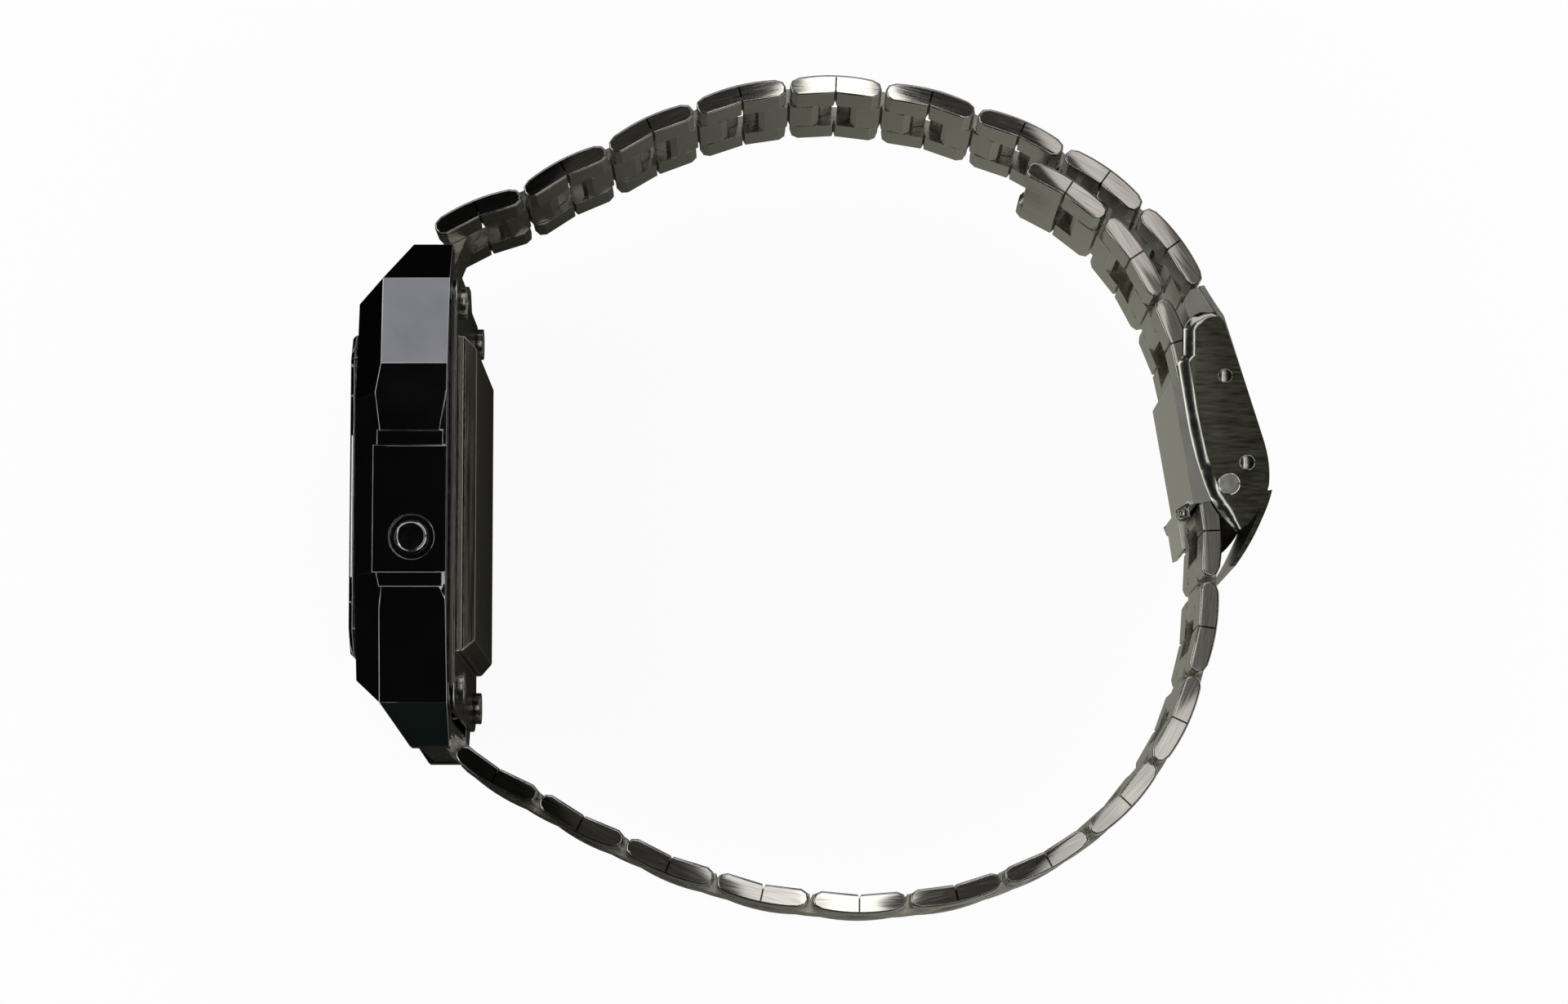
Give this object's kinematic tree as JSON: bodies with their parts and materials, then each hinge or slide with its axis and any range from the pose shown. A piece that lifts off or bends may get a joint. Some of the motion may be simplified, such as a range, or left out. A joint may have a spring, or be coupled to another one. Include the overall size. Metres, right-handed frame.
{
  "type": "digital wristwatch",
  "caption": "Small digital wristwatch with a faceted metal case, a clear front, side push buttons and a folded-link metal strap with a clamp clasp.",
  "frame": {"origin": "middle of the flat outer face of the case back, where the watch rests on the wrist", "axes": "+Y out of the case back towards the wrist, so the dial faces -Y; -X towards 12 o'clock, +X towards 6 o'clock, +Z towards 3 o'clock"},
  "size_m": [0.065, 0.0706, 0.0362],
  "materials": {
    "case_chrome": "chrome-plated resin, polished",
    "crystal": "gloss",
    "dial_print": "gloss",
    "display": "satin",
    "light_film": "matte",
    "rubber": "matte",
    "black_plastic": "matte",
    "board": "satin",
    "steel": "satin",
    "case_back_steel": "satin",
    "brass_disc": "satin",
    "button_steel": "gloss",
    "strap_steel": "satin",
    "clasp_steel": "satin"
  },
  "bodies": {
    "case": {"case": "case_chrome", "crystal": "crystal", "dial_mask": "dial_print", "display_glass": "display", "light_panel": "light_film", "contact_strips": "rubber", "module_frame": "black_plastic", "circuit_board": "board", "chip": "black_plastic", "quartz_can": "steel", "battery": "steel", "battery_clip": "steel", "case_back": "case_back_steel", "sounder_disc": "brass_disc", "back_gasket": "rubber", "back_screws": "steel", "button_springs": "steel", "spring_bars": "steel"},
    "light_button": {"light_button": "button_steel", "light_button_clip": "steel"},
    "mode_button": {"mode_button": "button_steel", "mode_button_clip": "steel"},
    "alarm_button": {"alarm_button": "button_steel", "alarm_button_clip": "steel"},
    "upper_end_piece": {"upper_end_piece": "strap_steel"},
    "lower_end_piece": {"lower_end_piece": "strap_steel"},
    "upper_link_1": {"upper_link_1": "strap_steel"},
    "upper_link_2": {"upper_link_2": "strap_steel"},
    "upper_link_3": {"upper_link_3": "strap_steel"},
    "upper_link_4": {"upper_link_4": "strap_steel"},
    "upper_link_5": {"upper_link_5": "strap_steel"},
    "upper_link_6": {"upper_link_6": "strap_steel"},
    "upper_link_7": {"upper_link_7": "strap_steel"},
    "upper_link_8": {"upper_link_8": "strap_steel"},
    "upper_link_9": {"upper_link_9": "strap_steel"},
    "lower_link_1": {"lower_link_1": "strap_steel"},
    "lower_link_2": {"lower_link_2": "strap_steel"},
    "lower_link_3": {"lower_link_3": "strap_steel"},
    "lower_link_4": {"lower_link_4": "strap_steel"},
    "lower_link_5": {"lower_link_5": "strap_steel"},
    "lower_link_6": {"lower_link_6": "strap_steel"},
    "lower_link_7": {"lower_link_7": "strap_steel"},
    "lower_link_8": {"lower_link_8": "strap_steel"},
    "lower_link_9": {"lower_link_9": "strap_steel"},
    "lower_link_10": {"lower_link_10": "strap_steel"},
    "clasp_cover": {"clasp_cover": "clasp_steel"},
    "clasp_body": {"clasp_body": "clasp_steel", "clasp_inner_plate": "clasp_steel", "clasp_rivets": "steel", "clasp_catch_pin": "steel", "clasp_hinge_pin": "steel", "clamp_lever_pin": "steel", "clamp_bar": "steel", "lower_link_11": "strap_steel", "lower_link_12": "strap_steel"},
    "clamp_lever": {"clamp_lever": "steel"},
    "lower_link_13": {"lower_link_13": "strap_steel"},
    "lower_link_14": {"lower_link_14": "strap_steel"},
    "lower_link_15": {"lower_link_15": "strap_steel"}
  },
  "joints": [
    {"name": "light_press", "type": "slide", "parent": "case", "child": "light_button", "axis": [0, 0, 1], "range_m": [0, 0.0005], "stiffness_N_per_m": 600, "springref_m": -0.001},
    {"name": "mode_press", "type": "slide", "parent": "case", "child": "mode_button", "axis": [0, 0, 1], "range_m": [0, 0.0005], "stiffness_N_per_m": 600, "springref_m": -0.001},
    {"name": "alarm_press", "type": "slide", "parent": "case", "child": "alarm_button", "axis": [0, 0, -1], "range_m": [0, 0.0005], "stiffness_N_per_m": 600, "springref_m": -0.001},
    {"name": "upper_bar_turn", "type": "hinge", "parent": "case", "child": "upper_end_piece", "pos_m": [-0.0175, -0.0036, 0], "axis": [0, 0, 1], "range_deg": [0, 6]},
    {"name": "lower_bar_turn", "type": "hinge", "parent": "case", "child": "lower_end_piece", "pos_m": [0.0175, -0.0036, 0], "axis": [0, 0, -1], "range_deg": [0, 6]},
    {"name": "upper_fold_1", "type": "hinge", "parent": "upper_end_piece", "child": "upper_link_1", "pos_m": [-0.02167, -0.00191, 0], "axis": [0, 0, 1], "range_deg": [0, 6]},
    {"name": "upper_fold_2", "type": "hinge", "parent": "upper_link_1", "child": "upper_link_2", "pos_m": [-0.02469, 0.0049, 0], "axis": [0, 0, 1], "range_deg": [0, 4]},
    {"name": "upper_fold_3", "type": "hinge", "parent": "upper_link_2", "child": "upper_link_3", "pos_m": [-0.02811, 0.01151, 0], "axis": [0, 0, 1], "range_deg": [0, 7.5]},
    {"name": "upper_fold_4", "type": "hinge", "parent": "upper_link_3", "child": "upper_link_4", "pos_m": [-0.03096, 0.01839, 0], "axis": [0, 0, 1], "range_deg": [0, 17]},
    {"name": "upper_fold_5", "type": "hinge", "parent": "upper_link_4", "child": "upper_link_5", "pos_m": [-0.0322, 0.02571, 0], "axis": [0, 0, 1], "range_deg": [0, 20.5]},
    {"name": "upper_fold_6", "type": "hinge", "parent": "upper_link_5", "child": "upper_link_6", "pos_m": [-0.03154, 0.03312, 0], "axis": [0, 0, 1], "range_deg": [0, 17.5]},
    {"name": "upper_fold_7", "type": "hinge", "parent": "upper_link_6", "child": "upper_link_7", "pos_m": [-0.02938, 0.04025, 0], "axis": [0, 0, 1], "range_deg": [0, 14.5]},
    {"name": "upper_fold_8", "type": "hinge", "parent": "upper_link_7", "child": "upper_link_8", "pos_m": [-0.02599, 0.04687, 0], "axis": [0, 0, 1], "range_deg": [0, 17.5]},
    {"name": "upper_fold_9", "type": "hinge", "parent": "upper_link_8", "child": "upper_link_9", "pos_m": [-0.02112, 0.05248, 0], "axis": [0, 0, 1], "range_deg": [0, 22.5]},
    {"name": "cover_turn", "type": "hinge", "parent": "upper_link_9", "child": "clasp_cover", "pos_m": [-0.01453, 0.05569, 0], "axis": [0, 0, 1], "range_deg": [0, 30]},
    {"name": "clasp_opening", "type": "hinge", "parent": "clasp_cover", "child": "clasp_body", "pos_m": [-0.00259, 0.05908, 0], "axis": [0, 0, 1], "range_deg": [0, 100]},
    {"name": "lever_turn", "type": "hinge", "parent": "clasp_body", "child": "clamp_lever", "pos_m": [0.00088, 0.05454, 0], "axis": [0, 0, -1], "range_deg": [0, 60]},
    {"name": "free_end_fold_13", "type": "hinge", "parent": "clasp_body", "child": "lower_link_13", "pos_m": [-0.01033, 0.05439, 0], "axis": [0, 0, 1], "range_deg": [0, 12]},
    {"name": "free_end_fold_14", "type": "hinge", "parent": "lower_link_13", "child": "lower_link_14", "pos_m": [-0.01727, 0.05173, 0], "axis": [0, 0, 1], "range_deg": [0, 12]},
    {"name": "free_end_fold_15", "type": "hinge", "parent": "lower_link_14", "child": "lower_link_15", "pos_m": [-0.02302, 0.04707, 0], "axis": [0, 0, 1], "range_deg": [0, 12]},
    {"name": "lower_fold_10", "type": "hinge", "parent": "clasp_body", "child": "lower_link_10", "pos_m": [0.0044, 0.05636, 0], "axis": [0, 0, 1], "range_deg": [0, 16]},
    {"name": "lower_fold_9", "type": "hinge", "parent": "lower_link_10", "child": "lower_link_9", "pos_m": [0.0118, 0.05555, 0], "axis": [0, 0, 1], "range_deg": [0, 21]},
    {"name": "lower_fold_8", "type": "hinge", "parent": "lower_link_9", "child": "lower_link_8", "pos_m": [0.01874, 0.05289, 0], "axis": [0, 0, 1], "range_deg": [0, 23.5]},
    {"name": "lower_fold_7", "type": "hinge", "parent": "lower_link_8", "child": "lower_link_7", "pos_m": [0.02452, 0.04823, 0], "axis": [0, 0, 1], "range_deg": [0, 23.5]},
    {"name": "lower_fold_6", "type": "hinge", "parent": "lower_link_7", "child": "lower_link_6", "pos_m": [0.02852, 0.04197, 0], "axis": [0, 0, 1], "range_deg": [0, 20.5]},
    {"name": "lower_fold_1", "type": "hinge", "parent": "lower_end_piece", "child": "lower_link_1", "pos_m": [0.02033, -0.0001, 0], "axis": [0, 0, -1], "range_deg": [0, 6]},
    {"name": "lower_fold_2", "type": "hinge", "parent": "lower_link_1", "child": "lower_link_2", "pos_m": [0.02403, 0.00636, 0], "axis": [0, 0, -1], "range_deg": [0, 8]},
    {"name": "lower_fold_3", "type": "hinge", "parent": "lower_link_2", "child": "lower_link_3", "pos_m": [0.02731, 0.01305, 0], "axis": [0, 0, -1], "range_deg": [0, 10.5]},
    {"name": "lower_fold_4", "type": "hinge", "parent": "lower_link_3", "child": "lower_link_4", "pos_m": [0.02979, 0.02007, 0], "axis": [0, 0, -1], "range_deg": [0, 15]},
    {"name": "lower_fold_5", "type": "hinge", "parent": "lower_link_4", "child": "lower_link_5", "pos_m": [0.03097, 0.02741, 0], "axis": [0, 0, -1], "range_deg": [0, 16.5]}
  ]
}
